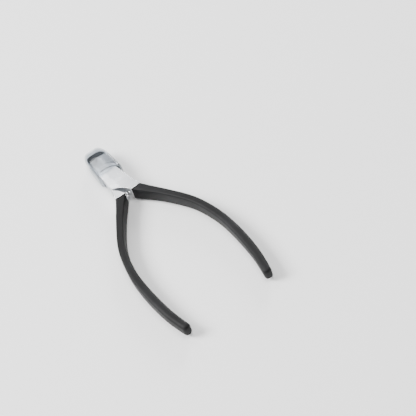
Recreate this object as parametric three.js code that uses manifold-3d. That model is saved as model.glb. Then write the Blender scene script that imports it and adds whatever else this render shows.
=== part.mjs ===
// Toenail nipper: two identical lap-jointed halves on a flush rivet, a small coil spring,
// soft-touch handle sleeves and a clear cap over the closed jaws. Millimetres, +Z up.
// The pivot axis is Z at X = 0, Y = 0; the jaws point along +Y; the underside of the joint is Z = 0.
import * as THREE from 'three';
import { mergeVertices } from 'three/addons/utils/BufferGeometryUtils.js';
import Module from 'manifold-3d';

const wasm = await Module();
wasm.setup();

// ---- driving dimensions ----
const JOINT_HEIGHT = 8.2;
const MID_HEIGHT = JOINT_HEIGHT / 2;
const RUNNING_GAP = 0.3;

const BOSS_RADIUS = 7.0;
const JAW_TIP_Y = 25.7;
const JAW_GAP = 0.15;
const JAW_HEIGHT_BACK = 6.8;
const JAW_HEIGHT_FRONT = 5.6;
const BEVEL_START_Y = 19.5;
const STEP_START_RADIUS = 7.3;
const STEP_END_RADIUS = 9.2;
const STEP_LIMIT_RADIUS = 30;
const TIP_HEIGHT = 1.4;
const HOLLOW_HALF_WIDTH = 2.2;
const HOLLOW_START_Y = 13;

const RIVET_RADIUS = 1.7;
const RIVET_HEAD_RADIUS = 2.35;
const RIVET_HEAD_DEPTH = 1.1;

const GRIP_START_Y = -15.4;
const GRIP_WALL = 0.75;
const TANG_TIP_LENGTH = 0.955;

const SPRING_Y = -13.5;
const SPRING_RADIUS = 1.35;
const SPRING_WIRE_RADIUS = 0.3;
const SPRING_HALF_LENGTH = 2.6;
const SPRING_TURNS = 2.75;
const SEAT_RADIUS = 1.95;
const SEAT_BOTTOM_X = 2.9;
const PEG_RADIUS = 0.7;
const PEG_TIP_X = 1.5;
const PEG_ROOT_X = 4.6;

const CAP_WALL = 0.7;
const CAP_CORNER = 2.3;
const CAP_INNER_CORNER = 1;
const CAP_NOSE_Y = 27.85;
const CAP_TAPER_Y = 14;

// Outer flank of the left jaw, from the tip back to the joint.
const JAW_FLANK = [
  [-1.9, JAW_TIP_Y], [-3.9, 24.7], [-4.9, 22.7], [-5.3, 19.8], [-5.6, 16], [-5.8, 12], [-5.95, 7],
];
// Rear edge of the upper joint plate, from its free corner to the shank.
const PLATE_REAR = [[-5.95, -7.3], [-3.4, -8.9], [-0.9, -11.2], [0.9, -13.4], [1.75, -15.1]];
// Outer edge of the right shank, from the sleeve forward to the boss.
const SHANK_FLANK = [[8.3, -15.1], [7.15, -11.6], [6.4, -7.5], [5.75, -3.1], [5.1, 1], [4.6, 5.28]];
// Front edge of a shank where the other half's plate swings past it.
const SHANK_FRONT = [[6.55, -8.5], [4.9, -9.9], [3.4, -12], [2.4, -14.4], [2.1, -15.1]];

// Centre line and width of the right handle, from inside the shank to the tail: [x, y, width].
const HANDLE_STATIONS = [
  [3.1, -11.6, 5.6], [5.25, -15.4, 5.3], [9.9, -22.5, 4.5], [14.3, -29.3, 4.1], [21.4, -42, 4.1],
  [25.1, -52, 4.3], [27.7, -64.6, 4.5], [28.5, -76, 4.8], [28.4, -88, 5.0], [27.5, -100, 4.9],
  [25.8, -110, 4.7], [24.7, -114.6, 4.5],
];
const HANDLE_HEIGHT_ROOT = 8.1;
const HANDLE_HEIGHT_TAIL = 7.2;

// Cap from mouth to nose: [y, half width, half thickness].
const CAP_STATIONS = [
  [4.9, 7.2, 5], [8.5, 7.25, 5], [12.5, 7.15, 5], [16.5, 6.97, 5], [19.8, 6.63, 4.88],
  [22.6, 6.03, 4.53], [24.8, 5.13, 3.93], [26.3, 4.03, 3.08], [27.25, 2.83, 2.18], [27.67, 1.63, 1.28],
];

const RING_POINTS = 24;

// ---- solids ----
function toManifold(geometry) {
  const closed = geometry.index ? geometry.toNonIndexed() : geometry.clone();
  closed.deleteAttribute('normal');
  closed.deleteAttribute('uv');
  const merged = mergeVertices(closed, 1e-5);
  const mesh = new wasm.Mesh({
    numProp: 3,
    vertProperties: new Float32Array(merged.attributes.position.array),
    triVerts: new Uint32Array(merged.index.array),
  });
  return new wasm.Manifold(mesh);
}

function toGeometry(manifold) {
  const mesh = manifold.getMesh();
  const geometry = new THREE.BufferGeometry();
  geometry.setAttribute('position', new THREE.BufferAttribute(new Float32Array(mesh.vertProperties), 3));
  geometry.setIndex(new THREE.BufferAttribute(new Uint32Array(mesh.triVerts), 1));
  return geometry;
}

function block(minX, maxX, minY, maxY, minZ, maxZ) {
  const geometry = new THREE.BoxGeometry(maxX - minX, maxY - minY, maxZ - minZ);
  geometry.translate((minX + maxX) / 2, (minY + maxY) / 2, (minZ + maxZ) / 2);
  return toManifold(geometry);
}

function rodAlongX(radius, minX, maxX, y, z, segments = 32) {
  const geometry = new THREE.CylinderGeometry(radius, radius, maxX - minX, segments);
  geometry.rotateZ(Math.PI / 2);
  geometry.translate((minX + maxX) / 2, y, z);
  return toManifold(geometry);
}

// A body turned about the pivot axis from a profile of [radius, height] points.
function turned(profile, segments = 48) {
  const geometry = new THREE.LatheGeometry(profile.map(([r, z]) => new THREE.Vector2(r, z)), segments);
  geometry.rotateX(Math.PI / 2);
  return toManifold(geometry);
}

// A flat plate with its edges broken top and bottom.
function plate(points, minZ, maxZ, edgeBreak = 0) {
  const shape = new THREE.Shape(points.map(([x, y]) => new THREE.Vector2(x, y)));
  const settings = { depth: maxZ - minZ - 2 * edgeBreak, bevelEnabled: edgeBreak > 0 };
  if (edgeBreak > 0) {
    settings.bevelThickness = edgeBreak;
    settings.bevelSize = edgeBreak;
    settings.bevelOffset = -edgeBreak;
    settings.bevelSegments = 1;
  }
  const geometry = new THREE.ExtrudeGeometry(shape, settings);
  geometry.translate(0, 0, minZ + edgeBreak);
  return toManifold(geometry);
}

function arcPoints(radius, fromDeg, toDeg, steps) {
  const points = [];
  for (let i = 0; i <= steps; i += 1) {
    const angle = THREE.MathUtils.degToRad(fromDeg + ((toDeg - fromDeg) * i) / steps);
    points.push([radius * Math.cos(angle), radius * Math.sin(angle)]);
  }
  return points;
}

function smoothPoints(points, steps) {
  const corners = points.map(([x, y]) => new THREE.Vector3(x, y, 0));
  const curve = new THREE.CatmullRomCurve3(corners, false, 'centripetal');
  return curve.getPoints(steps).map((p) => [p.x, p.y]);
}

// A rounded rectangle round the origin, as pairs of sideways and upward distances.
function roundedRing(halfWidth, halfHeight, corner) {
  const ring = [];
  for (let j = 0; j < RING_POINTS; j += 1) {
    const angle = (2 * Math.PI * (j + 0.5)) / RING_POINTS;
    const cornerA = Math.sign(Math.cos(angle)) * (halfWidth - corner);
    const cornerB = Math.sign(Math.sin(angle)) * (halfHeight - corner);
    ring.push([cornerA + corner * Math.cos(angle), cornerB + corner * Math.sin(angle)]);
  }
  return ring;
}

// Closes a stack of rings, each { point, side, ring }, into one solid with a middle point at each end.
function stackedRings(stack) {
  const positions = [];
  stack.forEach(({ point, side, ring }) => {
    ring.forEach(([a, b]) => positions.push(point.x + side.x * a, point.y + side.y * a, MID_HEIGHT + b));
  });
  const first = stack[0].point;
  const last = stack[stack.length - 1].point;
  positions.push(first.x, first.y, MID_HEIGHT, last.x, last.y, MID_HEIGHT);
  const lastRing = (stack.length - 1) * RING_POINTS;
  const startCentre = stack.length * RING_POINTS;
  const faces = [];
  for (let j = 0; j < RING_POINTS; j += 1) {
    const next = (j + 1) % RING_POINTS;
    for (let base = 0; base < lastRing; base += RING_POINTS) {
      const a = base + j;
      const b = base + next;
      faces.push(a, b, a + RING_POINTS, b, b + RING_POINTS, a + RING_POINTS);
    }
    faces.push(startCentre, next, j);
    faces.push(startCentre + 1, lastRing + j, lastRing + next);
  }
  const geometry = new THREE.BufferGeometry();
  geometry.setAttribute('position', new THREE.BufferAttribute(new Float32Array(positions), 3));
  geometry.setIndex(faces);
  return toManifold(geometry);
}

// ---- the two halves ----
// Height limit over the jaws: full at the boss, easing down around it, then tapering forward.
function jawHeightLimit() {
  const backHeight = MID_HEIGHT + JAW_HEIGHT_BACK / 2;
  const frontHeight = MID_HEIGHT + JAW_HEIGHT_FRONT / 2;
  const profile = [
    [0, -1], [STEP_LIMIT_RADIUS, -1], [STEP_LIMIT_RADIUS, frontHeight], [JAW_TIP_Y + 1, frontHeight],
  ];
  const steps = 5;
  for (let i = steps; i >= 0; i -= 1) {
    const ease = (1 - Math.cos((Math.PI * i) / steps)) / 2;
    const radius = STEP_START_RADIUS + ((STEP_END_RADIUS - STEP_START_RADIUS) * i) / steps;
    profile.push([radius, JOINT_HEIGHT + (backHeight - JOINT_HEIGHT) * ease]);
  }
  profile.push([0, JOINT_HEIGHT + 1]);
  const rearReach = block(-STEP_LIMIT_RADIUS, STEP_LIMIT_RADIUS, -20, 2, -1, JOINT_HEIGHT + 1);
  return turned(profile, 96).add(rearReach);
}

// Side view of the jaws: the front bevels down to the cutting tip, above and below.
function jawSideProfile() {
  const half = MID_HEIGHT + 1;
  const tip = TIP_HEIGHT / 2;
  const front = JAW_HEIGHT_FRONT / 2 + 0.25;
  const points = [
    [-20, MID_HEIGHT - half], [BEVEL_START_Y - 0.01, MID_HEIGHT - half], [BEVEL_START_Y, MID_HEIGHT - front],
    [JAW_TIP_Y + 0.2, MID_HEIGHT - tip], [JAW_TIP_Y + 0.2, MID_HEIGHT + tip],
    [BEVEL_START_Y, MID_HEIGHT + front], [BEVEL_START_Y - 0.01, MID_HEIGHT + half], [-20, MID_HEIGHT + half],
  ];
  const shape = new THREE.Shape(points.map(([y, z]) => new THREE.Vector2(y, z)));
  const geometry = new THREE.ExtrudeGeometry(shape, { depth: 40, bevelEnabled: false });
  geometry.rotateX(Math.PI / 2);
  geometry.rotateZ(Math.PI / 2);
  geometry.translate(-20, 0, 0);
  return toManifold(geometry);
}

// Hollow ground into the underside of both jaws, leaving the cutting edges above it.
function jawHollow() {
  const edgeZ = MID_HEIGHT - 0.4;
  const points = [[-HOLLOW_HALF_WIDTH, -1], [HOLLOW_HALF_WIDTH, -1], [JAW_GAP, edgeZ], [-JAW_GAP, edgeZ]];
  const shape = new THREE.Shape(points.map(([x, z]) => new THREE.Vector2(x, z)));
  const length = JAW_TIP_Y + 1 - HOLLOW_START_Y;
  const geometry = new THREE.ExtrudeGeometry(shape, { depth: length, bevelEnabled: false });
  geometry.rotateX(Math.PI / 2);
  geometry.translate(0, JAW_TIP_Y + 1, 0);
  return toManifold(geometry);
}

function countersunkHole() {
  const hole = RIVET_RADIUS + RUNNING_GAP;
  const head = RIVET_HEAD_RADIUS + RUNNING_GAP;
  const top = JOINT_HEIGHT;
  return turned([
    [0, -1], [head, -1], [head, 0], [hole, RIVET_HEAD_DEPTH],
    [hole, top - RIVET_HEAD_DEPTH], [head, top], [head, top + 1], [0, top + 1],
  ]);
}

// One closed bar swept along the handle: rounded-rectangle rings shrunk by inset on every side.
function handleBar(inset, lengthUsed, ringCount) {
  const path = new THREE.CatmullRomCurve3(HANDLE_STATIONS.map(([x, y, w]) => new THREE.Vector3(x, y, w)));
  const endRings = 4;
  const stack = [];
  for (let i = 0; i <= ringCount; i += 1) {
    const t = (lengthUsed * i) / ringCount;
    const point = path.getPointAt(t);
    const along = path.getTangentAt(t);
    along.z = 0;
    along.normalize();
    const side = new THREE.Vector3(-along.y, along.x, 0);
    const tailT = Math.min(1, (ringCount - i) / endRings);
    const endScale = 0.55 + 0.45 * Math.sqrt(1 - (1 - tailT) ** 2);
    const halfWidth = (point.z / 2 - inset) * endScale;
    const height = HANDLE_HEIGHT_ROOT + (HANDLE_HEIGHT_TAIL - HANDLE_HEIGHT_ROOT) * t;
    const halfHeight = (height / 2 - inset) * (0.7 + 0.3 * endScale);
    const corner = Math.min(0.98 * halfWidth, Math.max(0.2, (0.7 + 1.1 * t) - inset));
    stack.push({ point, side, ring: roundedRing(halfWidth, halfHeight, corner) });
  }
  return stackedRings(stack);
}

// The half whose plate is on top: left jaw, upper joint plate, right shank and its tang.
function nipperHalf() {
  const lapLow = MID_HEIGHT + RUNNING_GAP / 2;
  const bossArc = arcPoints(BOSS_RADIUS, 52, 91.2, 10);
  const upperOutline = [
    ...smoothPoints(JAW_FLANK, 14), ...PLATE_REAR, ...SHANK_FLANK, ...bossArc, [-JAW_GAP, JAW_TIP_Y],
  ];
  const upper = plate(upperOutline, lapLow, JOINT_HEIGHT);
  const jawOutline = [...smoothPoints(JAW_FLANK, 14), [-5.95, 2], [-JAW_GAP, 2], [-JAW_GAP, JAW_TIP_Y]];
  const lowerClear = turned([
    [0, -1], [BOSS_RADIUS + RUNNING_GAP, -1], [BOSS_RADIUS + RUNNING_GAP, lapLow], [0, lapLow],
  ]);
  const jaw = plate(jawOutline, 0, lapLow + 0.5).subtract(lowerClear);
  const shankOutline = [...SHANK_FRONT, [8.3, -15.1], [7.15, -11.6], [6.6, -8.7]];
  const shank = plate(shankOutline, 0, lapLow + 0.5);
  let body = upper.add(jaw).add(shank);
  const limit = jawHeightLimit();
  const limitBelow = turnedOver(limit);
  body = body.intersect(limit).intersect(limitBelow).intersect(jawSideProfile());
  const tang = handleBar(GRIP_WALL + RUNNING_GAP, TANG_TIP_LENGTH, 22);
  body = body.add(tang.intersect(block(2, 60, -130, -14.6, -1, 9)));
  return body.subtract(countersunkHole()).subtract(springSeat());
}

// The same solid turned half a turn about the Y line at mid height.
function turnedOver(solid) {
  return solid.translate([0, 0, -MID_HEIGHT]).rotate([0, 180, 0]).translate([0, 0, MID_HEIGHT]);
}

function springSeat() {
  return rodAlongX(SEAT_RADIUS, -1.2, SEAT_BOTTOM_X, SPRING_Y, MID_HEIGHT)
    .add(rodAlongX(PEG_RADIUS + RUNNING_GAP, 0, PEG_ROOT_X + RUNNING_GAP, SPRING_Y, MID_HEIGHT, 24));
}

// ---- small parts ----
function pivotRivet() {
  const top = JOINT_HEIGHT;
  const straight = 0.25;
  return turned([
    [0, 0], [RIVET_HEAD_RADIUS - 0.1, 0], [RIVET_HEAD_RADIUS, 0.1],
    [RIVET_RADIUS, RIVET_HEAD_DEPTH - straight + 0.1],
    [RIVET_RADIUS, top - RIVET_HEAD_DEPTH + straight - 0.1], [RIVET_HEAD_RADIUS, top - 0.1],
    [RIVET_HEAD_RADIUS - 0.1, top], [0, top],
  ]);
}

function springPeg() {
  return rodAlongX(PEG_RADIUS, PEG_TIP_X, PEG_ROOT_X, SPRING_Y, MID_HEIGHT, 24);
}

class SpringLine extends THREE.Curve {
  getPoint(t, target = new THREE.Vector3()) {
    const angle = Math.PI / 2 + 2 * Math.PI * SPRING_TURNS * t;
    const reach = SPRING_HALF_LENGTH - SPRING_WIRE_RADIUS;
    return target.set(
      -reach + 2 * reach * t,
      SPRING_Y + SPRING_RADIUS * Math.cos(angle),
      MID_HEIGHT + SPRING_RADIUS * Math.sin(angle),
    );
  }
}

function returnSpring() {
  const wire = new THREE.Shape();
  wire.absarc(0, 0, SPRING_WIRE_RADIUS, 0, 2 * Math.PI, false);
  const settings = { steps: 78, curveSegments: 5, bevelEnabled: false, extrudePath: new SpringLine() };
  return toManifold(new THREE.ExtrudeGeometry(wire, settings));
}

// Soft-touch sleeve over the right tang, closed at the tail.
function gripSleeve() {
  const outer = handleBar(0, 1, 44).intersect(block(0, 60, -130, GRIP_START_Y, -1, 10));
  const inner = handleBar(GRIP_WALL, TANG_TIP_LENGTH + 0.008, 22);
  return outer.subtract(inner);
}

// Clear cap over the closed jaws, open behind, with a tapered and rounded nose.
function capShell(inset, corner, mouthY) {
  const side = new THREE.Vector3(-1, 0, 0);
  const curve = new THREE.CatmullRomCurve3(CAP_STATIONS.map(([y, w, h]) => new THREE.Vector3(y, w, h)));
  const shrink = inset / (CAP_NOSE_Y - CAP_TAPER_Y);
  const stack = curve.getPoints(24).map((p) => {
    const y = p.x - shrink * Math.max(0, p.x - CAP_TAPER_Y);
    const halfWidth = p.y - inset;
    const halfHeight = p.z - inset;
    const fitted = Math.min(corner, 0.9 * halfHeight, 0.9 * halfWidth);
    return { point: new THREE.Vector3(0, y, 0), side, ring: roundedRing(halfWidth, halfHeight, fitted) };
  });
  stack[0].point.y = mouthY;
  const nose = stack[stack.length - 1].ring.map(([a, b]) => [a * 0.5, b * 0.5]);
  stack.push({ point: new THREE.Vector3(0, CAP_NOSE_Y - inset, 0), side, ring: nose });
  return stackedRings(stack);
}

function tipCap() {
  const mouthY = CAP_STATIONS[0][0];
  return capShell(0, CAP_CORNER, mouthY).subtract(capShell(CAP_WALL, CAP_INNER_CORNER, mouthY - 2));
}

// ---- assembly ----
const COLOURS = {
  steel: { color: '#dcdde0', metalness: 1, roughness: 0.32 },
  softTouch: { color: '#1b1b1c', metalness: 0, roughness: 0.7 },
  clearPlastic: { color: '#e4e7ea', metalness: 0, roughness: 0.08, transparent: true, opacity: 0.35 },
};

const group = new THREE.Group();
group.name = 'toenail_nipper';

function addPart(name, solid, look) {
  const mesh = new THREE.Mesh(toGeometry(solid), new THREE.MeshStandardMaterial(look));
  mesh.name = name;
  group.add(mesh);
}

const upperHalf = nipperHalf();
addPart('upper_half', upperHalf.subtract(jawHollow()), COLOURS.steel);
addPart('lower_half', turnedOver(upperHalf).subtract(jawHollow()), COLOURS.steel);
addPart('pivot_rivet', pivotRivet(), COLOURS.steel);
addPart('return_spring', returnSpring(), COLOURS.steel);
addPart('spring_peg_right', springPeg(), COLOURS.steel);
addPart('spring_peg_left', turnedOver(springPeg()), COLOURS.steel);
addPart('grip_right', gripSleeve(), COLOURS.softTouch);
addPart('grip_left', turnedOver(gripSleeve()), COLOURS.softTouch);
addPart('tip_cap', tipCap(), COLOURS.clearPlastic);

export default group;
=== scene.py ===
import math
import bmesh
import bpy
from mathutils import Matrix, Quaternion, Vector


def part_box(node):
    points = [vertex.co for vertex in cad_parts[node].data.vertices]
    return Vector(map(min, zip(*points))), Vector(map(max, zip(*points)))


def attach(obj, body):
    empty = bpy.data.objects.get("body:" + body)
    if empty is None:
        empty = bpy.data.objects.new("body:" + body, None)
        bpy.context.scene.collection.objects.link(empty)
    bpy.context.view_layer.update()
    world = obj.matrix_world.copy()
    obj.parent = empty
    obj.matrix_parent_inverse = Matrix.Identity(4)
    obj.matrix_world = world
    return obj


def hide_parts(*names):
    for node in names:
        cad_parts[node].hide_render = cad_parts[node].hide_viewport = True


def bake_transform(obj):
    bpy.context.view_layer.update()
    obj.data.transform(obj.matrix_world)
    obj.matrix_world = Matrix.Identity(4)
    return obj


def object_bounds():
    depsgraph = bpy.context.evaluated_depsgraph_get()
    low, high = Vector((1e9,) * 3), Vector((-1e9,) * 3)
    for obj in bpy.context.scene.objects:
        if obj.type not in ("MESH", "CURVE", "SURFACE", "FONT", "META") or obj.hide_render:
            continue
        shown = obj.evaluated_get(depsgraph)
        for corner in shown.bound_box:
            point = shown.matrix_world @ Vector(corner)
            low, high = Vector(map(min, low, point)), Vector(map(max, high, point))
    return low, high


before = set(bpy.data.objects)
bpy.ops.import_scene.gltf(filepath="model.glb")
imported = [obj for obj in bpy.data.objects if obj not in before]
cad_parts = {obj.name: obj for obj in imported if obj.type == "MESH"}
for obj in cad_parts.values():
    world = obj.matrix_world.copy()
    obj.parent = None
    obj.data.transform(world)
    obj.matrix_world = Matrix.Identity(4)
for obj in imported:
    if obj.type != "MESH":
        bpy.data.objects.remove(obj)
cadLow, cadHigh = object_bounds()
mm = 0.001

# what every piece of the nipper is laid out from, in millimetres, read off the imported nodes
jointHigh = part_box("pivot_rivet")[1].z / mm
midHeight = (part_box("pivot_rivet")[0].z / mm + jointHigh) / 2
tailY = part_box("grip_right")[0].y / mm
print("frame loaded, joint", round(jointHigh, 2), "mm thick, tails at", round(tailY, 1))


def pickNothing():
    if bpy.context.object and bpy.context.object.mode != "OBJECT":
        bpy.ops.object.mode_set(mode="OBJECT")
    bpy.ops.object.select_all(action="DESELECT")


def pickOnly(piece):
    pickNothing()
    piece.select_set(True)
    bpy.context.view_layer.objects.active = piece


def nameNew(name):
    piece = bpy.context.object
    piece.name = name
    piece.data.name = name
    return piece


def applyPlace(piece):
    pickOnly(piece)
    bpy.ops.object.transform_apply(location=True, rotation=True, scale=True)


def applyAll(piece):
    pickOnly(piece)
    for modifier in list(piece.modifiers):
        bpy.ops.object.modifier_apply(modifier=modifier.name)


def tidyFaces(piece):
    # merges doubles and turns every face outwards
    pickOnly(piece)
    bpy.ops.object.mode_set(mode="EDIT")
    bpy.ops.mesh.select_all(action="SELECT")
    bpy.ops.mesh.remove_doubles(threshold=1e-6)
    bpy.ops.mesh.normals_make_consistent(inside=False)
    bpy.ops.object.mode_set(mode="OBJECT")


def pickFaces(piece, wanted):
    # leaves the piece in edit mode with only the wanted faces selected
    pickOnly(piece)
    bpy.ops.object.mode_set(mode="EDIT")
    bpy.ops.mesh.select_mode(type="FACE")
    bpy.ops.mesh.select_all(action="DESELECT")
    edit = bmesh.from_edit_mesh(piece.data)
    for face in edit.faces:
        face.select_set(wanted(face.calc_center_median() / mm, face.normal))
    bmesh.update_edit_mesh(piece.data)


def combine(piece, tool, operation):
    modifier = piece.modifiers.new("combine", "BOOLEAN")
    modifier.operation = operation
    modifier.solver = "EXACT"
    modifier.object = tool
    applyAll(piece)
    bpy.data.objects.remove(tool)


def copyOf(piece, name):
    pickOnly(piece)
    bpy.ops.object.duplicate()
    return nameNew(name)


def smoothLine(points, count):
    # a smooth line through given points, with any number of values to a point
    ends = [points[0]] + list(points) + [points[-1]]
    line = []
    for step in range(count + 1):
        place = step * (len(points) - 1) / count
        i = min(int(place), len(points) - 2)
        t = place - i
        four = zip(ends[i], ends[i + 1], ends[i + 2], ends[i + 3])
        line.append(tuple(
            0.5 * (2 * q + (r - p) * t + (2 * p - 5 * q + 4 * r - s) * t * t
                   + (3 * q - p - 3 * r + s) * t ** 3)
            for p, q, r, s in four
        ))
    return line


def arcLine(radius, fromDeg, toDeg, count):
    angles = [math.radians(fromDeg + (toDeg - fromDeg) * i / count) for i in range(count + 1)]
    return [(radius * math.cos(a), radius * math.sin(a)) for a in angles]


def inPlane(plane, a, b, c):
    return Vector({"XY": (a, b, c), "YZ": (c, a, b), "XZ": (a, c, b)}[plane]) * mm


def traceFace(name, outline, level, plane="XY"):
    # one vertex is dragged corner by corner round the outline, then the loop is filled
    corners = [inPlane(plane, a, b, level) for a, b in outline]
    pickNothing()
    bpy.ops.mesh.primitive_plane_add(size=mm)
    piece = nameNew(name)
    bpy.ops.object.mode_set(mode="EDIT")
    bpy.ops.mesh.select_mode(type="VERT")
    bpy.ops.mesh.select_all(action="SELECT")
    bpy.ops.mesh.merge(type="CENTER")
    bpy.ops.transform.translate(value=corners[0])
    for here, there in zip(corners, corners[1:]):
        bpy.ops.mesh.extrude_region_move(TRANSFORM_OT_translate={"value": there - here})
    bpy.ops.mesh.select_all(action="SELECT")
    bpy.ops.mesh.edge_face_add()
    bpy.ops.object.mode_set(mode="OBJECT")
    return piece


def tracePlate(name, outline, low, high, plane="XY"):
    piece = traceFace(name, outline, low, plane)
    bpy.ops.object.mode_set(mode="EDIT")
    bpy.ops.mesh.select_all(action="SELECT")
    bpy.ops.mesh.extrude_region_move(TRANSFORM_OT_translate={"value": inPlane(plane, 0, 0, high - low)})
    tidyFaces(piece)
    return piece


def sliceAway(piece, point, normal):
    # saws off everything on the side the normal points to and closes the cut
    pickOnly(piece)
    bpy.ops.object.mode_set(mode="EDIT")
    bpy.ops.mesh.select_all(action="SELECT")
    bpy.ops.mesh.bisect(
        plane_co=Vector(point) * mm, plane_no=normal, use_fill=True, clear_outer=True, threshold=1e-7)
    bpy.ops.object.mode_set(mode="OBJECT")


def turnOver(piece):
    # half a turn about the Y line at mid height: one half of the joint becomes the other
    pickOnly(piece)
    bpy.ops.object.mode_set(mode="EDIT")
    bpy.ops.mesh.select_all(action="SELECT")
    bpy.ops.transform.rotate(value=math.pi, orient_axis="Y", center_override=(0, 0, midHeight * mm))
    bpy.ops.object.mode_set(mode="OBJECT")


def breakEdges(piece, width, angleDeg, segments=3, edgeSlot=-1, keepSharp=None):
    # rounds every edge sharper than the angle, apart from those that keepSharp picks by their middle
    edit = bmesh.new()
    edit.from_mesh(piece.data)
    layer = edit.edges.layers.float.new("bevel_weight_edge")
    for edge in edit.edges:
        middle = (edge.verts[0].co + edge.verts[1].co) / 2 / mm
        sharp = edge.calc_face_angle(0) > math.radians(angleDeg)
        edge[layer] = 1.0 if sharp and not (keepSharp and keepSharp(middle)) else 0.0
    edit.to_mesh(piece.data)
    edit.free()
    modifier = piece.modifiers.new("brokenEdges", "BEVEL")
    modifier.width = width * mm
    modifier.segments = segments
    modifier.limit_method = "WEIGHT"
    modifier.material = edgeSlot
    applyAll(piece)


def smoothShade(piece, angleDeg=32, flatFaces=False):
    # flatFaces keeps large machined faces flat to the eye, right up to their rounded edges
    pickOnly(piece)
    bpy.ops.object.shade_smooth_by_angle(angle=math.radians(angleDeg))
    if flatFaces:
        weighting = piece.modifiers.new("weighting", "WEIGHTED_NORMAL")
        weighting.mode = "FACE_AREA"
        weighting.weight = 100
        weighting.keep_sharp = True
        applyAll(piece)


def hexColour(text):
    values = [int(text[i:i + 2], 16) / 255 for i in (1, 3, 5)]
    return tuple(v / 12.92 if v <= 0.04045 else ((v + 0.055) / 1.055) ** 2.4 for v in values) + (1.0,)


def addNode(tree, kind, settings=None, links=None):
    # settings name a node's own property or an input socket; links are input: (node, output)
    node = tree.nodes.new(kind)
    for key, value in (settings or {}).items():
        if isinstance(key, str) and hasattr(node, key):
            setattr(node, key, value)
        else:
            node.inputs[key].default_value = value
    for key, (source, output) in (links or {}).items():
        tree.links.new(source.outputs[output], node.inputs[key])
    return node


def newMaterial(name):
    material = bpy.data.materials.new(name)
    material.use_nodes = True
    material.node_tree.nodes.clear()
    return material, material.node_tree


def dress(piece, *materials):
    piece.data.materials.clear()
    for material in materials:
        piece.data.materials.append(material)


steelLook = {
    "colour": "#d2d4d7", "shade": "#bfc1c5", "roughness": 0.30, "roughnessSpread": 0.12,
    "grainMm": 0.35, "grainDepthMm": 0.010, "smudgeMm": 9.0, "waveMm": 7.0, "waveDepthMm": 0.05,
}


def satinSteel():
    # stainless steel, ground and bead blasted: an even pale satin with a fine pearl grain and soft smudges
    material, tree = newMaterial("beadBlastedStainless")
    place = addNode(tree, "ShaderNodeTexCoord")
    grain = addNode(tree, "ShaderNodeTexNoise",
                    {"Scale": 1 / (steelLook["grainMm"] * mm), "Detail": 2.0, "Roughness": 0.6},
                    {"Vector": (place, "Object")})
    smudge = addNode(tree, "ShaderNodeTexNoise",
                     {"Scale": 1 / (steelLook["smudgeMm"] * mm), "Detail": 3.0, "Roughness": 0.55},
                     {"Vector": (place, "Object")})
    colour = addNode(tree, "ShaderNodeMix",
                     {"data_type": "RGBA",
                      6: hexColour(steelLook["shade"]), 7: hexColour(steelLook["colour"])},
                     {0: (smudge, 0)})
    half = steelLook["roughnessSpread"] / 2
    spread = addNode(tree, "ShaderNodeMapRange",
                     {"From Min": 0.3, "From Max": 0.7,
                      "To Min": steelLook["roughness"] - half, "To Max": steelLook["roughness"] + half},
                     {"Value": (smudge, 0)})
    relief = addNode(tree, "ShaderNodeBump",
                     {"Strength": 0.25, "Distance": steelLook["grainDepthMm"] * mm}, {"Height": (grain, 0)})
    wave = addNode(tree, "ShaderNodeTexNoise", {"Scale": 1 / (steelLook["waveMm"] * mm), "Detail": 0.0},
                   {"Vector": (place, "Object")})
    relief = addNode(tree, "ShaderNodeBump", {"Strength": 1.0, "Distance": steelLook["waveDepthMm"] * mm},
                     {"Height": (wave, 0), "Normal": (relief, 0)})
    shader = addNode(tree, "ShaderNodeBsdfPrincipled", {"Metallic": 1.0},
                     {"Base Color": (colour, 2), "Roughness": (spread, 0), "Normal": (relief, 0)})
    addNode(tree, "ShaderNodeOutputMaterial", None, {"Surface": (shader, 0)})
    return material


def groundBevelPaintedReflectionSteel():
    # the front bevels come off a fine belt: smoother, with grind lines running across, and painted darker
    # than the steel: a painted dark reflection of the surroundings these bevels face
    material, tree = newMaterial("beltGroundSteelPaintedDarkReflection")
    place = addNode(tree, "ShaderNodeTexCoord")
    stretch = addNode(tree, "ShaderNodeMapping", {"Scale": (0.06, 1.0, 1.0)}, {"Vector": (place, "Object")})
    lines = addNode(tree, "ShaderNodeTexNoise",
                    {"Scale": 1 / (0.16 * mm), "Detail": 2.0},
                    {"Vector": (stretch, 0)})
    # the darker tones are painted reflection, not the steel's own colour; the grind lines are real
    tone = addNode(tree, "ShaderNodeMix",
                   {"data_type": "RGBA", 6: hexColour("#8f9297"), 7: hexColour("#b0b3b7")}, {0: (lines, 0)})
    spread = addNode(tree, "ShaderNodeMapRange", {"To Min": 0.16, "To Max": 0.30}, {"Value": (lines, 0)})
    relief = addNode(tree, "ShaderNodeBump",
                     {"Strength": 0.2, "Distance": 0.006 * mm},
                     {"Height": (lines, 0)})
    shader = addNode(tree, "ShaderNodeBsdfPrincipled", {"Metallic": 1.0},
                     {"Base Color": (tone, 2), "Roughness": (spread, 0), "Normal": (relief, 0)})
    addNode(tree, "ShaderNodeOutputMaterial", None, {"Surface": (shader, 0)})
    return material


def paintedHighlightEdgeSteel():
    # the same steel on the broken edges, smoother where belts and handling polished them, and painted lighter
    # than the steel: a painted highlight, a thin bright line
    material, tree = newMaterial("polishedSteelEdgePaintedHighlight")
    place = addNode(tree, "ShaderNodeTexCoord")
    rub = addNode(tree, "ShaderNodeTexNoise",
                  {"Scale": 1 / (1.6 * mm), "Detail": 3.0},
                  {"Vector": (place, "Object")})
    spread = addNode(tree, "ShaderNodeMapRange", {"To Min": 0.14, "To Max": 0.30}, {"Value": (rub, 0)})
    # the light tones are a painted highlight on the edges; the lower roughness is the real polish
    tone = addNode(tree, "ShaderNodeMix",
                   {"data_type": "RGBA", 6: hexColour("#e9eaec"), 7: hexColour("#f6f6f7")}, {0: (rub, 0)})
    shader = addNode(tree, "ShaderNodeBsdfPrincipled", {"Metallic": 1.0},
                     {"Base Color": (tone, 2), "Roughness": (spread, 0)})
    addNode(tree, "ShaderNodeOutputMaterial", None, {"Surface": (shader, 0)})
    return material


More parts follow.
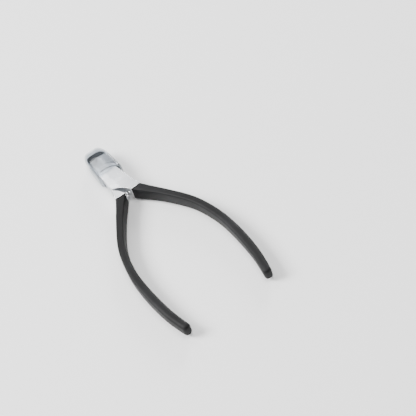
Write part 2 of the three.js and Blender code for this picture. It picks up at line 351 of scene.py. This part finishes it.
def drawnWire():
    # hard drawn spring wire: bright, with fine die lines that break up its highlight
    material, tree = newMaterial("drawnSpringWire")
    place = addNode(tree, "ShaderNodeTexCoord")
    lines = addNode(tree, "ShaderNodeTexNoise",
                    {"Scale": 1 / (0.25 * mm), "Detail": 2.0},
                    {"Vector": (place, "Object")})
    spread = addNode(tree, "ShaderNodeMapRange", {"To Min": 0.16, "To Max": 0.30}, {"Value": (lines, 0)})
    tone = addNode(tree, "ShaderNodeMix",
                   {"data_type": "RGBA", 6: hexColour("#cfd0d2"), 7: hexColour("#eeeeef")}, {0: (lines, 0)})
    shader = addNode(tree, "ShaderNodeBsdfPrincipled", {"Metallic": 1.0},
                     {"Base Color": (tone, 2), "Roughness": (spread, 0)})
    addNode(tree, "ShaderNodeOutputMaterial", None, {"Surface": (shader, 0)})
    return material


rubberLook = {
    "colour": "#0e0e0f", "worn": "#18181a", "roughness": 0.58, "grainMm": 0.45, "grainDepthMm": 0.02,
}


def softTouchRubber():
    # TPE with a soft-touch skin: deep matt black, a fine eggshell grain, a little greyer where hands rub it
    material, tree = newMaterial("softTouchRubber")
    place = addNode(tree, "ShaderNodeTexCoord")
    grain = addNode(tree, "ShaderNodeTexNoise",
                    {"Scale": 1 / (rubberLook["grainMm"] * mm), "Detail": 2.0, "Roughness": 0.6},
                    {"Vector": (place, "Object")})
    rub = addNode(tree, "ShaderNodeTexNoise",
                  {"Scale": 1 / (14 * mm), "Detail": 4.0},
                  {"Vector": (place, "Object")})
    rubbed = addNode(tree, "ShaderNodeMapRange", {"From Min": 0.45, "From Max": 0.75}, {"Value": (rub, 0)})
    tone = addNode(tree, "ShaderNodeMix",
                   {"data_type": "RGBA",
                    6: hexColour(rubberLook["colour"]), 7: hexColour(rubberLook["worn"])},
                   {0: (rubbed, 0)})
    spread = addNode(tree, "ShaderNodeMapRange",
                     {"To Min": rubberLook["roughness"] + 0.06, "To Max": rubberLook["roughness"] - 0.08},
                     {"Value": (rub, 0)})
    relief = addNode(tree, "ShaderNodeBump",
                     {"Strength": 0.35, "Distance": rubberLook["grainDepthMm"] * mm}, {"Height": (grain, 0)})
    shader = addNode(tree, "ShaderNodeBsdfPrincipled", {"IOR": 1.5, "Specular IOR Level": 0.22},
                     {"Base Color": (tone, 2), "Roughness": (spread, 0), "Normal": (relief, 0)})
    addNode(tree, "ShaderNodeOutputMaterial", None, {"Surface": (shader, 0)})
    return material


vinylLook = {"clear": "#eceef0", "edgeOnPaintedShade": "#7f858b", "roughness": 0.09, "cloudMm": 4.0, "cloudDepthMm": 0.05}


def clearVinyl():
    # dip-moulded clear PVC: a thin glossy film, almost invisible face on and greyer where it is seen edge on;
    # that grey is a painted shade standing in for the dark edge lines refraction gives
    material, tree = newMaterial("clearSoftPvc")
    place = addNode(tree, "ShaderNodeTexCoord")
    cloud = addNode(tree, "ShaderNodeTexNoise", {"Scale": 1 / (vinylLook["cloudMm"] * mm), "Detail": 3.0},
                    {"Vector": (place, "Object")})
    relief = addNode(tree, "ShaderNodeBump", {"Strength": 0.2, "Distance": vinylLook["cloudDepthMm"] * mm},
                     {"Height": (cloud, 0)})
    turn = addNode(tree, "ShaderNodeLayerWeight", {"Blend": 0.5}, {"Normal": (relief, 0)})
    # painted shade: the film is filtered grey where it is seen edge on
    depth = addNode(tree, "ShaderNodeMath", {"operation": "POWER", 1: 4.0}, {0: (turn, "Facing")})
    tint = addNode(tree, "ShaderNodeMix",
                   {"data_type": "RGBA", 6: hexColour(vinylLook["clear"]), 7: hexColour(vinylLook["edgeOnPaintedShade"])},
                   {0: (depth, 0)})
    clear = addNode(tree, "ShaderNodeBsdfTransparent", None, {"Color": (tint, 2)})
    rise = addNode(tree, "ShaderNodeMath", {"operation": "POWER", 1: 5.0}, {0: (turn, "Facing")})
    mirror = addNode(tree, "ShaderNodeMath", {"operation": "MULTIPLY_ADD", 1: 0.9, 2: 0.04}, {0: (rise, 0)})
    spread = addNode(tree, "ShaderNodeMapRange",
                     {"To Min": vinylLook["roughness"] - 0.05, "To Max": vinylLook["roughness"] + 0.05},
                     {"Value": (cloud, 0)})
    shine = addNode(tree, "ShaderNodeBsdfAnisotropic", {"Color": hexColour("#f6f8f9")},
                    {"Roughness": (spread, 0), "Normal": (relief, 0)})
    both = addNode(tree, "ShaderNodeMixShader", None, {0: (mirror, 0), 1: (clear, 0), 2: (shine, 0)})
    addNode(tree, "ShaderNodeOutputMaterial", None, {"Surface": (both, 0)})
    return material


steel = satinSteel()
groundSteelPaintedDarkReflection = groundBevelPaintedReflectionSteel()
steelEdgePaintedHighlight = paintedHighlightEdgeSteel()
springWire = drawnWire()
softTouch = softTouchRubber()
clearPlastic = clearVinyl()
print("materials made")


handleBar = {
    # centre x, centre y and width across, in mm, from inside the shank to the tail
    "stations": [
        (3.1, -11.6, 5.6), (5.25, -15.4, 5.3), (9.9, -22.5, 4.5), (14.3, -29.3, 4.1), (21.4, -42, 4.1),
        (25.1, -52, 4.3), (27.7, -64.6, 4.5), (28.5, -76, 4.8), (28.4, -88, 5.0), (27.5, -100, 4.9),
        (25.8, -110, 4.7), (24.7, -114.6, 4.5),
    ],
    "rings": 48, "heightRoot": 8.1, "heightTail": 7.2, "roundRoot": 0.45, "roundTail": 1.9,
    "wall": 0.75, "frontY": -15.36,
}


def sweepHandle(name, inset, endY):
    # a flat bar pulled out station by station along the bowed line of the right handle
    look = handleBar
    line = [p for p in smoothLine(look["stations"], look["rings"]) if p[1] > endY + 2.6]
    x, y, across = line[-1]
    lean = (x - line[-3][0]) / (y - line[-3][1])
    line.append((x + lean * (endY - y), endY, across))
    headings = []
    for i in range(len(line)):
        a, b = line[max(0, i - 1)], line[min(len(line) - 1, i + 1)]
        headings.append(math.atan2(b[1] - a[1], b[0] - a[0]))
    lastRing = len(line) - 1
    drop = (look["heightTail"] - look["heightRoot"]) / lastRing
    widths = [p[2] - 2 * inset for p in line]
    heights = [look["heightRoot"] + drop * i - 2 * inset for i in range(len(line))]
    centre = Vector((line[0][0], line[0][1], midHeight)) * mm
    pickNothing()
    bpy.ops.mesh.primitive_plane_add(
        size=mm, location=centre, rotation=(math.pi / 2, 0, headings[0] + math.pi / 2))
    bar = nameNew(name)
    bar.scale = (widths[0], heights[0], 1)
    applyPlace(bar)
    bpy.ops.object.mode_set(mode="EDIT")
    bpy.ops.mesh.select_all(action="SELECT")
    for i in range(1, len(line)):
        there = Vector((line[i][0], line[i][1], midHeight)) * mm
        bpy.ops.mesh.extrude_region_move(TRANSFORM_OT_translate={"value": there - centre})
        centre = there
        bpy.ops.transform.rotate(value=headings[i - 1] - headings[i], orient_axis="Z", center_override=centre)
        across = widths[i] / widths[i - 1]
        bpy.ops.transform.resize(value=(across, across, heights[i] / heights[i - 1]), center_override=centre)
    bpy.ops.object.mode_set(mode="OBJECT")
    # the long edges are crisp at the shank and rounder towards the tail, whose end is rounded all over
    weights = bar.data.attributes.new("bevel_weight_edge", "FLOAT", "EDGE")
    for edge in bar.data.edges:
        rings = sorted(v // 4 for v in edge.vertices)
        radius = look["roundRoot"] + (look["roundTail"] - look["roundRoot"]) * rings[1] / lastRing
        if rings[0] != rings[1] or rings[0] == lastRing:
            weights.data[edge.index].value = radius / 2
    tidyFaces(bar)
    rounding = bar.modifiers.new("rounding", "BEVEL")
    rounding.limit_method = "WEIGHT"
    rounding.width = 2 * mm * min(1.0, widths[lastRing] / 4.5)
    rounding.segments = 5
    applyAll(bar)
    return bar


def makeGrip(name):
    sleeve = sweepHandle(name, 0.02, tailY + 0.12)
    sliceAway(sleeve, (0, handleBar["frontY"], 0), (0, 1, 0))
    combine(sleeve, sweepHandle("pocket", handleBar["wall"], tailY + 5.4), "DIFFERENCE")
    smoothShade(sleeve, 30)
    return sleeve


gripRight = makeGrip("soft_grip_right")
gripLeft = copyOf(gripRight, "soft_grip_left")
turnOver(gripLeft)
for grip, body, node in ((gripRight, "upper_lever", "grip_right"), (gripLeft, "lower_lever", "grip_left")):
    dress(grip, softTouch)
    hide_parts(node)
    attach(grip, body)
print("grips swept")


forging = {
    "jawFlank": [(-1.9, 25.7), (-3.9, 24.7), (-4.9, 22.7), (-5.3, 19.8), (-5.6, 16), (-5.8, 12), (-5.95, 7)],
    "plateRear": [(-5.95, -7.3), (-3.4, -8.9), (-0.9, -11.2), (0.9, -13.4), (1.75, -15.24)],
    "shankFlank": [(8.3, -15.24), (7.15, -11.6), (6.4, -7.5), (5.75, -3.1), (5.1, 1), (4.6, 5.28)],
    "shankFront": [(2.05, -15.24), (2.4, -14.4), (3.4, -12), (4.9, -9.9), (6.55, -8.5)],
    "bossRadius": 7.0, "lapGap": 0.06, "seamGap": 0.015, "edgeBreak": 0.34,
    "crescentInner": (-1.58, -3.01, 10.3), "crescentOuter": (-0.73, 2.18, 6.94),
    "crescentRun": 1.75, "crescentDrop": 0.68, "jawTop": 7.5,
    "stepCentre": (-0.09, 5.49), "stepRadius": 6.2, "stepRun": 0.8, "stepTop": 7.22,
    "wedgeY": 11.8, "wedgeSkew": 2.73, "facetX": -1.95, "facetTilt": 0.05,
    "bevelY": 19.5, "bevelTop": 6.95, "tipY": 25.7, "tipTop": 4.8, "hollowHalf": 2.2,
}


def spunCutter(name, profile, centre):
    # a form wheel: the profile turned half way round an upright axis, over the jaws
    cutter = traceFace(name, profile, 0, "XZ")
    bpy.ops.object.mode_set(mode="EDIT")
    bpy.ops.mesh.select_all(action="SELECT")
    bpy.ops.mesh.spin(steps=72, angle=math.pi, center=(0, 0, 0), axis=(0, 0, -1))
    bpy.ops.mesh.select_all(action="SELECT")
    bpy.ops.transform.translate(value=(centre[0] * mm, centre[1] * mm, 0))
    tidyFaces(cutter)
    return cutter


def easeDown(fromR, fromZ, run, drop, steps=6):
    return [(fromR + run * i / steps, fromZ - drop * (1 - math.cos(i / steps * math.pi)) / 2)
            for i in range(steps + 1)]


def jawTopCutters():
    # what is ground off the tops of the jaws: a crescent cove, a step on the right jaw, a wedge on the left
    look = forging
    top = jointHigh
    x, y, inner = look["crescentInner"]
    profile = [(40, top + 1), (inner, top + 1)]
    profile += easeDown(inner, top, look["crescentRun"], look["crescentDrop"])
    cove = spunCutter("cove", profile + [(40, look["jawTop"] - 0.05)], (x, y))
    x, y, outer = look["crescentOuter"]
    arc = [(x + a, y + b) for a, b in arcLine(outer, 18, 162, 40)]
    outline = arc + [(-12, arc[-1][1]), (-12, 32), (12, 32), (12, arc[0][1])]
    wall = tracePlate("wall", outline, look["jawTop"], top + 1)
    radius = look["stepRadius"]
    level = look["jawTop"] - 0.02
    profile = [(30, top + 1), (radius, top + 1)]
    profile += easeDown(radius, level, look["stepRun"], level - look["stepTop"])
    profile += [(14.0, look["bevelTop"]), (30, look["bevelTop"] - 0.5)]
    step = spunCutter("step", profile, look["stepCentre"])
    sliceAway(step, (0, 0, 0), (-1, 0, 0))
    fall = (level - look["bevelTop"]) / (look["bevelY"] - look["wedgeY"])
    outline = [(look["wedgeY"] - 0.6, level + 0.6 * fall), (32, look["bevelTop"] - fall * 12.5),
               (32, top + 1), (look["wedgeY"] - 0.6, top + 1)]
    wedge = tracePlate("wedge", outline, -9, 0, "YZ")
    pickFaces(wedge, lambda centre, normal: normal.x < -0.9)
    bpy.ops.transform.translate(value=(0, look["wedgeSkew"] * mm, 0))
    bpy.ops.object.mode_set(mode="OBJECT")
    return [cove, wall, step, wedge]


def rivetHoleCutter(name):
    look = rivetShape
    pickNothing()
    bpy.ops.mesh.primitive_cylinder_add(
        vertices=64, radius=(look["shaft"] + look["fit"]) * mm,
        depth=(jointHigh - 2 * look["headDepth"]) * mm,
        location=(0, 0, midHeight * mm))
    cutter = nameNew(name)
    applyPlace(cutter)
    flare = (look["head"] + look["fit"]) / (look["shaft"] + look["fit"])
    for side in (1, -1):
        pickFaces(cutter, lambda centre, normal: normal.z * side > 0.9)
        bpy.ops.mesh.extrude_region_move(
            TRANSFORM_OT_translate={"value": (0, 0, side * look["headDepth"] * mm)})
        bpy.ops.transform.resize(value=(flare, flare, 1), center_override=(0, 0, midHeight * mm))
        bpy.ops.mesh.extrude_region_move(TRANSFORM_OT_translate={"value": (0, 0, side * mm)})
        bpy.ops.object.mode_set(mode="OBJECT")
    tidyFaces(cutter)
    return cutter


rivetShape = {"shaft": 1.7, "head": 2.35, "headDepth": 1.1, "rimBreak": 0.05, "fit": 0.03}
springShape = {
    "y": -13.5, "coilRadius": 1.35, "wire": 0.3, "reach": 2.6, "turns": 2.75, "seatRadius": 1.9,
    "pegRadius": 0.7, "pegTip": 1.5, "pegRoot": 4.55,
}


def sidewaysRod(name, radius, fromX, toX, vertices=48):
    pickNothing()
    bpy.ops.mesh.primitive_cylinder_add(
        vertices=vertices, radius=radius * mm, depth=(toX - fromX) * mm, rotation=(0, math.pi / 2, 0),
        location=((fromX + toX) / 2 * mm, springShape["y"] * mm, midHeight * mm))
    rod = nameNew(name)
    applyPlace(rod)
    return rod


def onOuterRim(middle):
    # the outline's edges on both faces, apart from the boss and the seam between the jaws
    inside = middle.x > -0.05 and middle.y > 5.2
    return abs(middle.z - midHeight) > midHeight - 0.1 and not inside


def forgeHalf(name):
    # the half with its plate on top: left jaw, plate, right shank; the other half is this one turned over
    look = forging
    seam = look["seamGap"]
    boss = look["bossRadius"]
    arc = arcLine(boss, 52, 90 + math.degrees(seam / boss), 12)
    outline = smoothLine(look["jawFlank"], 15) + look["plateRear"] + look["shankFlank"]
    outline += arc + [(-seam, look["tipY"])]
    body = tracePlate(name, outline, 0, jointHigh)
    dress(body, steel, steelEdgePaintedHighlight, groundSteelPaintedDarkReflection)
    # the broken edges take slot 1, the steel with the painted highlight
    breakEdges(body, look["edgeBreak"], 33, 3, 1, lambda middle: not onOuterRim(middle))
    lapTop = midHeight + look["lapGap"] / 2
    lapSpace = (
        arcLine(boss + look["lapGap"], 0, 180, 40) + [(-9, -1), (-9, -20), (2.05, -20)]
        + look["shankFront"] + [(9, -8.4)]
    )
    combine(body, tracePlate("lapSpace", lapSpace, -2, lapTop), "DIFFERENCE")
    for cutter in jawTopCutters():
        combine(body, cutter, "DIFFERENCE")
    for cutter in jawTopCutters():
        turnOver(cutter)
        combine(body, cutter, "DIFFERENCE")
    fall = (look["bevelTop"] - look["tipTop"]) / (look["tipY"] - look["bevelY"])
    sliceAway(body, (0, look["bevelY"], look["bevelTop"]), (0, fall, 1))
    sliceAway(body, (0, look["bevelY"], jointHigh - look["bevelTop"]), (0, fall, -1))
    sliceAway(body, (look["facetX"], 0, jointHigh), (-look["facetTilt"], -look["facetTilt"] * 0.052, 1))
    combine(body, rivetHoleCutter("hole"), "DIFFERENCE")
    combine(body, sidewaysRod("seat", springShape["seatRadius"], -1.2, 2.9), "DIFFERENCE")
    tang = sweepHandle("tang", handleBar["wall"] + 0.05, tailY + 5.6)
    sliceAway(tang, (0, -14.9, 0), (0, 1, 0))
    return body, tang


def hollowCutter(name):
    # ground out of the underside of both jaws so that only the cutting edges meet
    side = forging["hollowHalf"]
    seam = forging["seamGap"]
    outline = [(-side, -1), (side, -1), (seam, midHeight - 0.4), (-seam, midHeight - 0.4)]
    return tracePlate(name, outline, 13, 27, "XZ")


def finishHalf(body, tang, node, rides):
    combine(body, hollowCutter("hollow"), "DIFFERENCE")
    tidyFaces(body)
    pickFaces(body, lambda centre, normal: centre.y < forging["bevelY"] and abs(normal.z) > 0.99)
    body.active_material_index = 0
    bpy.ops.object.material_slot_assign()
    bpy.ops.object.mode_set(mode="OBJECT")
    # the front bevel faces take slot 2, the steel with the painted dark reflection
    pickFaces(body, lambda centre, normal: (
        centre.y > forging["bevelY"] and 0.2 < normal.y < 0.5 and abs(normal.z) > 0.8))
    body.active_material_index = 2
    bpy.ops.object.material_slot_assign()
    bpy.ops.object.mode_set(mode="OBJECT")
    dress(tang, steel)
    combine(body, tang, "UNION")
    bpy.ops.object.mode_set(mode="EDIT")
    bpy.ops.mesh.select_all(action="SELECT")
    bpy.ops.mesh.fill_holes(sides=4)
    bpy.ops.object.mode_set(mode="OBJECT")
    smoothShade(body, 40, True)
    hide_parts(node)
    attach(body, rides)


upperBody, upperTang = forgeHalf("forged_half_upper")
lowerBody = copyOf(upperBody, "forged_half_lower")
turnOver(lowerBody)
lowerTang = copyOf(upperTang, "lowerTang")
turnOver(lowerTang)
finishHalf(upperBody, upperTang, "upper_half", "upper_lever")
finishHalf(lowerBody, lowerTang, "lower_half", "lower_lever")
print("halves forged")


def makeRivet(name):
    # a pin with both heads flared into their countersinks, then ground flush
    look = rivetShape
    pickNothing()
    bpy.ops.mesh.primitive_cylinder_add(
        vertices=64, radius=look["shaft"] * mm, depth=(jointHigh - 2 * look["headDepth"]) * mm,
        location=(0, 0, midHeight * mm))
    pin = nameNew(name)
    applyPlace(pin)
    flare = look["head"] / look["shaft"]
    for side in (1, -1):
        pickFaces(pin, lambda centre, normal: normal.z * side > 0.9)
        bpy.ops.mesh.extrude_region_move(
            TRANSFORM_OT_translate={"value": (0, 0, side * look["headDepth"] * mm)})
        bpy.ops.transform.resize(value=(flare, flare, 1), center_override=(0, 0, midHeight * mm))
        bpy.ops.object.mode_set(mode="OBJECT")
    tidyFaces(pin)
    dress(pin, steel, steelEdgePaintedHighlight)
    # the rim break takes slot 1, the steel with the painted highlight
    breakEdges(pin, look["rimBreak"], 40, 2, 1)
    smoothShade(pin, 40, True)
    return pin


rivet = makeRivet("flush_rivet")
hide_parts("pivot_rivet")
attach(rivet, "lower_lever")


def makeSpring(name):
    # one wire section wound along X by a screw, its two ends closed
    look = springShape
    reach = look["reach"] - look["wire"]
    pickNothing()
    bpy.ops.mesh.primitive_circle_add(
        vertices=14, radius=look["wire"] * mm, fill_type="NGON", location=(0, 0, 0))
    spring = nameNew(name)
    bpy.ops.object.mode_set(mode="EDIT")
    bpy.ops.mesh.select_all(action="SELECT")
    bpy.ops.transform.rotate(value=math.pi / 2, orient_axis="X", center_override=(0, 0, 0))
    bpy.ops.transform.translate(value=(0, 0, look["coilRadius"] * mm))
    bpy.ops.object.mode_set(mode="OBJECT")
    winding = spring.modifiers.new("winding", "SCREW")
    winding.axis = "X"
    winding.angle = 2 * math.pi * look["turns"]
    winding.screw_offset = 2 * reach * mm
    winding.steps = winding.render_steps = 150
    winding.use_merge_vertices = True
    applyAll(spring)
    bpy.ops.object.mode_set(mode="EDIT")
    bpy.ops.mesh.select_mode(type="EDGE")
    bpy.ops.mesh.select_all(action="SELECT")
    bpy.ops.mesh.fill_holes(sides=0)
    bpy.ops.object.mode_set(mode="OBJECT")
    spring.location = (-reach * mm, look["y"] * mm, midHeight * mm)
    applyPlace(spring)
    tidyFaces(spring)
    dress(spring, springWire)
    smoothShade(spring, 40)
    return spring


spring = makeSpring("coil_spring")
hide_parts("return_spring")
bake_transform(spring)


def makePeg(name):
    peg = sidewaysRod(name, springShape["pegRadius"], springShape["pegTip"], springShape["pegRoot"], 32)
    dress(peg, steel, steelEdgePaintedHighlight)
    pickFaces(peg, lambda centre, normal: normal.x < -0.9)
    for rim, rise in ((0.8, 0.10), (0.55, 0.04)):
        bpy.ops.mesh.extrude_region_move(TRANSFORM_OT_translate={"value": (-rise * mm, 0, 0)})
        bpy.ops.transform.resize(
            value=(1, rim, rim), center_override=(0, springShape["y"] * mm, midHeight * mm))
    bpy.ops.object.mode_set(mode="OBJECT")
    smoothShade(peg, 30)
    return peg


pegRight = makePeg("spring_peg_pin_right")
pegLeft = copyOf(pegRight, "spring_peg_pin_left")
turnOver(pegLeft)
for peg, body, node in (
        (pegRight, "upper_lever", "spring_peg_right"), (pegLeft, "lower_lever", "spring_peg_left")):
    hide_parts(node)
    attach(peg, body)
print("rivet, spring and pegs made")


capShape = {
    # y, half width and half thickness, in mm, from the mouth to the nose
    "rings": [
        (4.95, 7.2, 4.94), (8.5, 7.22, 4.97), (12.5, 7.12, 4.97), (16.5, 6.95, 4.95), (19.8, 6.6, 4.83),
        (22.6, 6.0, 4.5), (24.8, 5.1, 3.9), (26.3, 4.0, 3.05), (27.2, 2.8, 2.15), (27.62, 1.6, 1.25),
    ],
    "noseY": 27.8, "sideWall": 0.7, "topWall": 0.6, "corner": 2.3, "innerCorner": 1.6, "mouthThin": 0.3,
    "taperY": 14,
}


def loftCap(name, sideInset, topInset, corner, mouthY):
    # a rounded mouth pulled forward ring by ring to the nose
    look = capShape
    taperY = look["taperY"]
    shrink = sideInset / (look["noseY"] - taperY)
    rings = [(y - shrink * max(0, y - taperY), w - sideInset, h - topInset)
             for y, w, h in smoothLine(look["rings"], 40)]
    if sideInset:
        flare = look["mouthThin"]
        rings = [(y, w + flare * max(0, 1 - (y - 5) / 5), h + flare * max(0, 1 - (y - 5) / 5))
                 for y, w, h in rings]
    rings[0] = (mouthY, rings[0][1], rings[0][2])
    noseY = look["noseY"] - sideInset
    rings.append((noseY, rings[-1][1] * 0.45, rings[-1][2] * 0.45))
    y, w, h = rings[0]
    pickNothing()
    bpy.ops.mesh.primitive_plane_add(
        size=2 * mm, rotation=(math.pi / 2, 0, 0), location=(0, y * mm, midHeight * mm))
    shell = nameNew(name)
    shell.scale = (w, h, 1)
    applyPlace(shell)
    bpy.ops.object.mode_set(mode="EDIT")
    bpy.ops.mesh.select_mode(type="VERT")
    bpy.ops.mesh.select_all(action="SELECT")
    bpy.ops.mesh.bevel(offset=corner * mm, segments=8, affect="VERTICES")
    bpy.ops.mesh.select_mode(type="FACE")
    bpy.ops.mesh.select_all(action="SELECT")
    for nextY, nextW, nextH in rings[1:]:
        bpy.ops.mesh.extrude_region_move(TRANSFORM_OT_translate={"value": (0, (nextY - y) * mm, 0)})
        bpy.ops.transform.resize(
            value=(nextW / w, 1, nextH / h), center_override=(0, nextY * mm, midHeight * mm))
        y, w, h = nextY, nextW, nextH
    bpy.ops.object.mode_set(mode="OBJECT")
    tidyFaces(shell)
    return shell


def makeCap(name):
    look = capShape
    cap = loftCap(name, 0, 0, look["corner"], look["rings"][0][0])
    room = loftCap("room", look["sideWall"], look["topWall"], look["innerCorner"], look["rings"][0][0] - 3)
    combine(cap, room, "DIFFERENCE")
    tidyFaces(cap)
    breakEdges(cap, 0.06, 50, 2)
    dress(cap, clearPlastic)
    smoothShade(cap, 40)
    return cap


cap = makeCap("clear_tip_cap")
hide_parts("tip_cap")
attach(cap, "cap")
print("cap made")


studio = {
    "floorColour": "#f8f8f8", "worldTop": "#ffffff", "worldLow": "#46494d", "worldStrength": 0.5,
    # name, power in watts, size, place: the main light, a card the flat steel mirrors, two for the edges
    "lamps": [
        ("main_softbox", 46.0, 0.7, (-0.95, 0.5, 1.0)),
        ("mirror_card", 4.8, 0.45, (0.06, 1.03, 1.2)),
        ("right_softbox", 14.0, 0.45, (1.0, 0.85, 0.5)),
        ("top_softbox", 14.0, 0.6, (0.15, -0.3, 1.45)),
    ],
}


def paintFloor():
    # seamless paper: matt and pale, with a trace of fibre
    material, tree = newMaterial("seamlessPaper")
    place = addNode(tree, "ShaderNodeTexCoord")
    fibre = addNode(tree, "ShaderNodeTexNoise",
                    {"Scale": 1 / (0.9 * mm), "Detail": 2.0},
                    {"Vector": (place, "Object")})
    relief = addNode(tree, "ShaderNodeBump",
                     {"Strength": 0.05, "Distance": 0.02 * mm},
                     {"Height": (fibre, 0)})
    shader = addNode(tree, "ShaderNodeBsdfPrincipled",
                     {"Base Color": hexColour(studio["floorColour"]), "Roughness": 0.9},
                     {"Normal": (relief, 0)})
    addNode(tree, "ShaderNodeOutputMaterial", None, {"Surface": (shader, 0)})
    return material


def setFloor():
    pickNothing()
    bpy.ops.mesh.primitive_plane_add(size=6, location=(0, 0, cadLow.z - 0.0003))
    floor = nameNew("studio_floor")
    applyPlace(floor)
    dress(floor, paintFloor())


def setWorld():
    world = bpy.data.worlds.new("studioWorld")
    bpy.context.scene.world = world
    world.use_nodes = True
    tree = world.node_tree
    tree.nodes.clear()
    place = addNode(tree, "ShaderNodeTexCoord")
    axes = addNode(tree, "ShaderNodeSeparateXYZ", None, {"Vector": (place, "Generated")})
    rise = addNode(tree, "ShaderNodeMapRange", {"From Min": 0.0, "From Max": 0.75}, {"Value": (axes, "Z")})
    tone = addNode(tree, "ShaderNodeMix",
                   {"data_type": "RGBA", 6: hexColour(studio["worldLow"]), 7: hexColour(studio["worldTop"])},
                   {0: (rise, 0)})
    glow = addNode(tree, "ShaderNodeBackground", {"Strength": studio["worldStrength"]}, {"Color": (tone, 2)})
    addNode(tree, "ShaderNodeOutputWorld", None, {"Surface": (glow, 0)})


def setLamp(name, power, size, place, aim=(0, -0.04, 0)):
    pickNothing()
    bpy.ops.object.light_add(type="AREA", location=place)
    lamp = bpy.context.object
    lamp.name = name
    lamp.data.energy = power
    lamp.data.shape = "SQUARE"
    lamp.data.size = size
    lamp.rotation_mode = "QUATERNION"
    lamp.rotation_quaternion = (Vector(aim) - Vector(place)).to_track_quat("-Z", "Y")


viewpoint = {
    "place": (-0.16471, -0.68926, 0.72302), "aim": (0.02742, -0.05049, 0.0),
    "rollDeg": -21.9, "lens": 160.8, "sensorMm": 36,
}


def setCamera():
    pickNothing()
    bpy.ops.object.camera_add(location=viewpoint["place"])
    camera = bpy.context.object
    camera.name = "main_camera"
    camera.data.lens = viewpoint["lens"]
    camera.data.sensor_width = viewpoint["sensorMm"]
    camera.rotation_mode = "QUATERNION"
    look = (Vector(viewpoint["aim"]) - Vector(viewpoint["place"])).to_track_quat("-Z", "Y")
    camera.rotation_quaternion = look @ Quaternion((0, 0, 1), math.radians(viewpoint["rollDeg"]))
    bpy.context.scene.camera = camera


setFloor()
setWorld()
for lamp in studio["lamps"]:
    setLamp(*lamp)
setCamera()
print("studio set")
